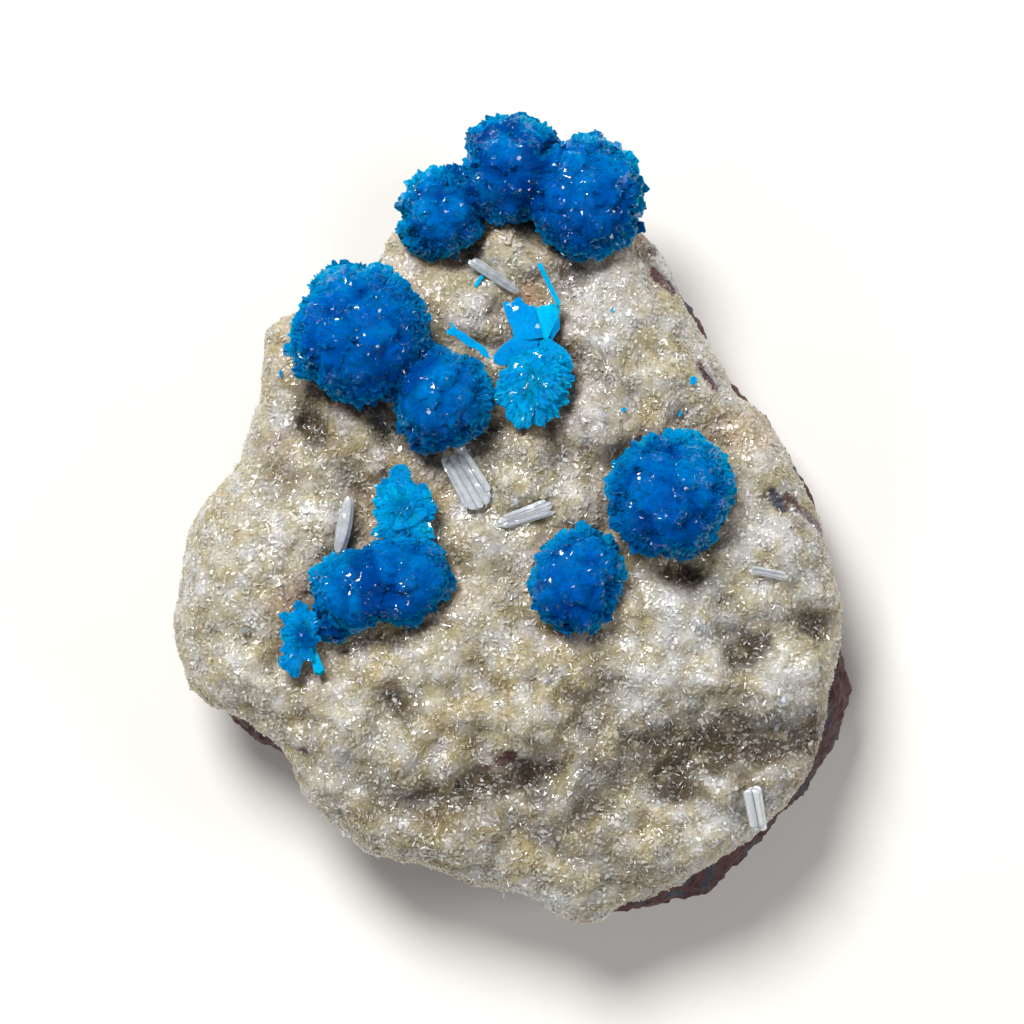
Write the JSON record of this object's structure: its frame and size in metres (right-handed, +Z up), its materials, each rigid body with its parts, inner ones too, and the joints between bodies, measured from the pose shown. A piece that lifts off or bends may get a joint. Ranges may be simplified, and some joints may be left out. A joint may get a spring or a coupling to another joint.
{
  "type": "cavansite mineral specimen",
  "caption": "Natural mineral specimen: blue cavansite rosettes and clear stilbite blades on a cream crystal druse over dark basalt. It lies on its flat trimmed back.",
  "frame": {"origin": "under the middle of the specimen's bounding box, on the flat back that it rests on", "axes": "+Z up out of the crystal face, +Y along the longest side towards the narrow end with three rosettes, +X across to the right of someone who looks down on the face with +Y away from them"},
  "size_m": [0.0604, 0.0718, 0.025],
  "materials": {
    "basalt": "matte",
    "druse": "satin",
    "cavansite": "gloss",
    "stilbite": "gloss"
  },
  "bodies": {
    "root": {"basalt_matrix": "basalt", "stilbite_druse": "druse", "cavansite_crown": "cavansite", "cavansite_west": "cavansite", "cavansite_bow_tie": "cavansite", "cavansite_east": "cavansite", "cavansite_south": "cavansite", "cavansite_southwest": "cavansite", "stilbite_sheaf_centre": "stilbite", "stilbite_sheaf_middle": "stilbite", "stilbite_blade_west": "stilbite", "stilbite_blade_north": "stilbite", "stilbite_blade_southeast": "stilbite", "stilbite_blade_east": "stilbite"}
  },
  "joints": []
}
